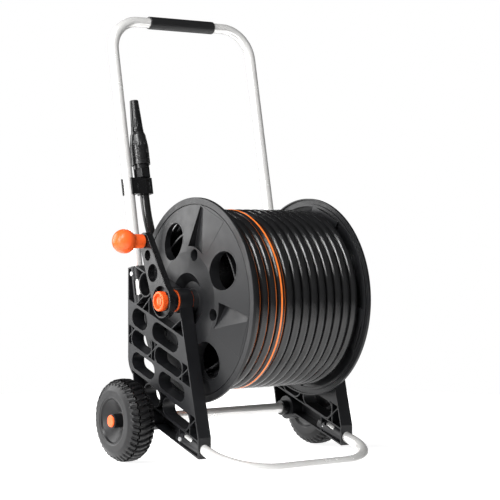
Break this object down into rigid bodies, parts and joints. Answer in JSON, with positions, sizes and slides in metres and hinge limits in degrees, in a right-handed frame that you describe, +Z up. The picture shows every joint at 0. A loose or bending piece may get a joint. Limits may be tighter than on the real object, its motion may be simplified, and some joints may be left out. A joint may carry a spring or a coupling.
{
  "type": "garden hose reel cart",
  "caption": "Wheeled cart of bent tube and moulded side frames that carries a cranked drum of garden hose, with a spray nozzle clipped to the handle.",
  "frame": {"origin": "middle of the footprint of the whole cart, on the floor", "axes": "+X along the drum axis away from the crank, +Y rearward to the wheels and push handle, +Z up"},
  "size_m": [0.5256, 0.4625, 0.8576],
  "materials": {
    "frame_plastic": "satin moulded anthracite",
    "drum_plastic": "satin moulded anthracite",
    "wheel_plastic": "satin blow moulded black",
    "black_plastic": "satin moulded black",
    "orange_plastic": "satin moulded orange",
    "tube_metal": "polished drawn tube",
    "grip_foam": "soft matt black",
    "hose_rubber": "ribbed black with orange stripes",
    "soft_grey": "matt dark grey overmould",
    "screw_steel": "zinc plated",
    "seal_rubber": "smooth"
  },
  "bodies": {
    "cart_frame": {"left_side_frame": "frame_plastic", "right_side_frame": "frame_plastic", "handle_tube": "tube_metal", "handle_grip": "grip_foam", "foot_tube": "tube_metal", "axle_tube": "tube_metal", "tube_screws": "screw_steel", "axle_spacers": "black_plastic", "axle_collars": "black_plastic", "left_bearing_bush": "orange_plastic", "right_bearing_bush": "orange_plastic", "thrust_washers": "orange_plastic", "left_wheel_cap": "orange_plastic", "right_wheel_cap": "orange_plastic", "hose_clip": "black_plastic", "hose_tail": "hose_rubber", "hose_nut": "black_plastic", "connector_body": "black_plastic", "nozzle_body": "black_plastic", "nozzle_seal": "seal_rubber", "collar_spring": "screw_steel"},
    "drum": {"left_flange": "drum_plastic", "right_flange": "drum_plastic", "drum_core": "black_plastic", "drum_hub_tube": "black_plastic", "drum_spokes": "black_plastic", "drum_screws": "screw_steel", "hose_outlet": "black_plastic", "hose_winding": "hose_rubber", "crank_arm": "black_plastic", "grip_pin": "screw_steel"},
    "knob": {"hub_knob": "orange_plastic"},
    "crank_handle": {"crank_grip": "orange_plastic"},
    "wheel_left": {"left_wheel": "wheel_plastic"},
    "wheel_right": {"right_wheel": "wheel_plastic"},
    "inlet": {"inlet_swivel": "black_plastic", "inlet_seal": "seal_rubber", "inlet_nipple": "black_plastic"},
    "collar": {"connector_collar": "soft_grey"},
    "spray_tip": {"nozzle_tip": "black_plastic"}
  },
  "joints": [
    {"name": "drum_spin", "type": "hinge", "parent": "cart_frame", "child": "drum", "pos_m": [0.00715, -0.03476, 0.304], "axis": [1, 0, 0], "continuous": true},
    {"name": "knob_turn", "type": "hinge", "parent": "drum", "child": "knob", "pos_m": [-0.19885, -0.03476, 0.304], "axis": [1, 0, 0], "range_deg": [0, 180]},
    {"name": "crank_handle_spin", "type": "hinge", "parent": "drum", "child": "crank_handle", "pos_m": [-0.24035, 0.02517, 0.41301], "axis": [1, 0, 0], "continuous": true},
    {"name": "left_wheel_roll", "type": "hinge", "parent": "cart_frame", "child": "wheel_left", "pos_m": [-0.21685, 0.06324, 0.079], "axis": [1, 0, 0], "continuous": true},
    {"name": "right_wheel_roll", "type": "hinge", "parent": "cart_frame", "child": "wheel_right", "pos_m": [0.23115, 0.06324, 0.079], "axis": [1, 0, 0], "continuous": true},
    {"name": "inlet_swivel_turn", "type": "hinge", "parent": "cart_frame", "child": "inlet", "pos_m": [0.21715, -0.03476, 0.304], "axis": [1, 0, 0], "range_deg": [-180, 180]},
    {"name": "collar_slide", "type": "slide", "parent": "cart_frame", "child": "collar", "axis": [0, -0.2055, -0.9787], "range_m": [0, 0.004], "stiffness_N_per_m": 500, "springref_m": -0.002, "deforming": ["collar_spring"]},
    {"name": "tip_twist", "type": "hinge", "parent": "cart_frame", "child": "spray_tip", "pos_m": [-0.12285, 0.17318, 0.62843], "axis": [0, 0.2055, 0.9787], "range_deg": [0, 270]}
  ]
}
